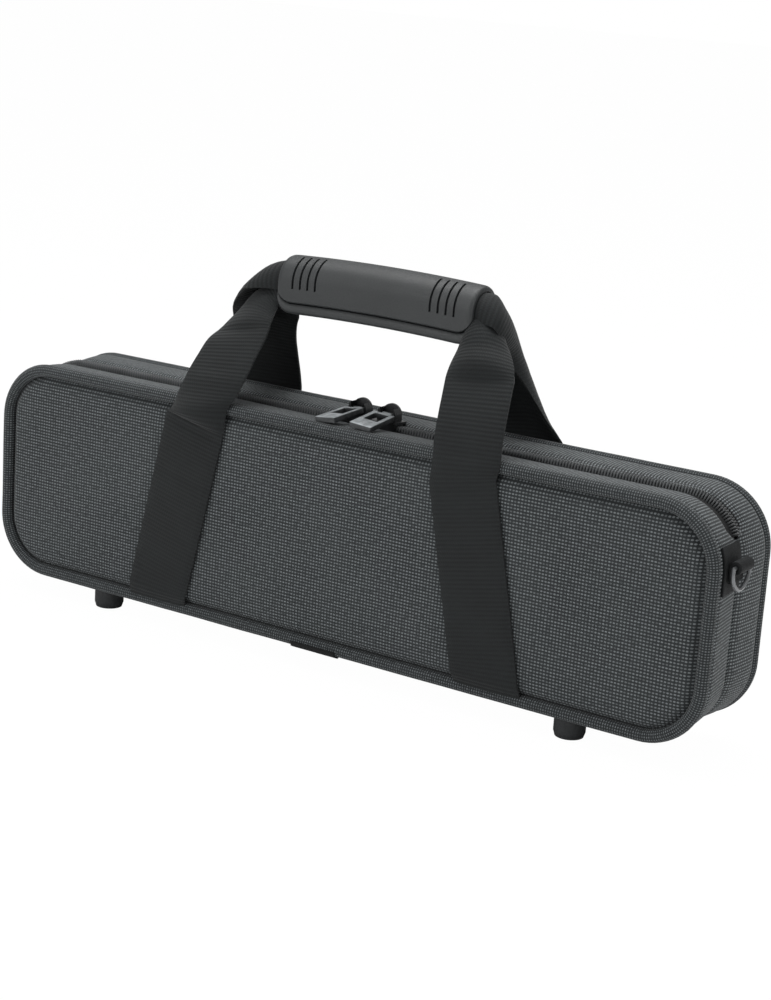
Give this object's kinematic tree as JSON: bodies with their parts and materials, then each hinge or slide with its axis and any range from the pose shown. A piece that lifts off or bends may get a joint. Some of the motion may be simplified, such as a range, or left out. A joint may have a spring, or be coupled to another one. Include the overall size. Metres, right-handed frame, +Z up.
{
  "type": "flute case",
  "caption": "Soft zipped flute case with piped padded halves, webbing handles, a wrap grip, rubber feet and end rings.",
  "frame": {"origin": "on the floor under the middle of the case, between the feet", "axes": "+X along the case towards its right end, +Y towards the back, +Z up"},
  "size_m": [0.4532, 0.0718, 0.2075],
  "materials": {
    "case_fabric": "matt",
    "panel_fabric": "matt",
    "piping": "matt",
    "tape": "matt",
    "coil": "satin",
    "foot_rubber": "matt",
    "webbing": "matt",
    "foam": "matt",
    "plush": "matt",
    "gunmetal": "satin",
    "ring_metal": "gloss",
    "grip_rubber": "matt"
  },
  "bodies": {
    "base": {"rear_shell": "case_fabric", "rear_piping": "piping", "rear_panel": "panel_fabric", "rear_zip_tape": "tape", "rear_zip_coil": "coil", "rear_piping_join": "case_fabric", "rear_feet": "foot_rubber", "rear_straps_sewn": "webbing", "tray_foam": "foam", "tray_plush": "plush", "hinge_tape": "tape"},
    "lid": {"front_shell": "case_fabric", "front_piping": "piping", "front_panel": "panel_fabric", "front_zip_tape": "tape", "front_zip_coil": "coil", "front_piping_join": "case_fabric", "front_feet": "foot_rubber", "front_straps_sewn": "webbing", "lid_foam": "foam", "lid_plush": "plush", "ring_patches": "webbing", "ring_loops": "webbing"},
    "left_slider": {"slider_left": "gunmetal"},
    "right_slider": {"slider_right": "gunmetal"},
    "left_pull": {"pull_left": "gunmetal"},
    "right_pull": {"pull_right": "gunmetal"},
    "left_ring": {"d_ring_left": "ring_metal"},
    "right_ring": {"d_ring_right": "ring_metal"},
    "rear_handle": {"rear_strap_loop": "webbing", "grip_cradle": "grip_rubber"},
    "front_handle": {"front_strap_loop": "webbing"},
    "grip_wrap": {"grip_cover": "grip_rubber"}
  },
  "joints": [
    {"name": "lid_hinge", "type": "hinge", "parent": "base", "child": "lid", "pos_m": [0, 0, 0.0124], "axis": [1, 0, 0], "range_deg": [0, 90], "deforming": ["hinge_tape", "front_zip_tape", "front_zip_coil"]},
    {"name": "slider_left_slide", "type": "slide", "parent": "base", "child": "left_slider", "axis": [-1, 0, 0], "range_m": [0, 0.15]},
    {"name": "slider_right_slide", "type": "slide", "parent": "base", "child": "right_slider", "axis": [1, 0, 0], "range_m": [0, 0.15]},
    {"name": "pull_left_swing", "type": "hinge", "parent": "left_slider", "child": "left_pull", "pos_m": [-0.001, 0, 0.1351], "axis": [-0.9936, -0.1132, 0], "range_deg": [0, 85]},
    {"name": "pull_right_swing", "type": "hinge", "parent": "right_slider", "child": "right_pull", "pos_m": [0.017, 0, 0.1351], "axis": [-0.9936, -0.1132, 0], "range_deg": [0, 85]},
    {"name": "ring_left_swing", "type": "hinge", "parent": "lid", "child": "left_ring", "pos_m": [-0.2234, -0.01275, 0.1015], "axis": [0, 1, 0], "range_deg": [0, 150]},
    {"name": "ring_right_swing", "type": "hinge", "parent": "lid", "child": "right_ring", "pos_m": [0.2234, -0.01275, 0.1015], "axis": [0, -1, 0], "range_deg": [0, 150]},
    {"name": "rear_handle_swing", "type": "hinge", "parent": "base", "child": "rear_handle", "pos_m": [0, 0.0331, 0.1175], "axis": [-1, 0, 0], "range_deg": [0, 150]},
    {"name": "front_handle_swing", "type": "hinge", "parent": "lid", "child": "front_handle", "pos_m": [0, -0.0331, 0.1175], "axis": [1, 0, 0], "range_deg": [0, 150], "deforming": ["front_strap_loop"]},
    {"name": "grip_wrap_open", "type": "hinge", "parent": "rear_handle", "child": "grip_wrap", "pos_m": [0, 0.018, 0.19435], "axis": [-1, 0, 0], "range_deg": [0, 120]}
  ]
}
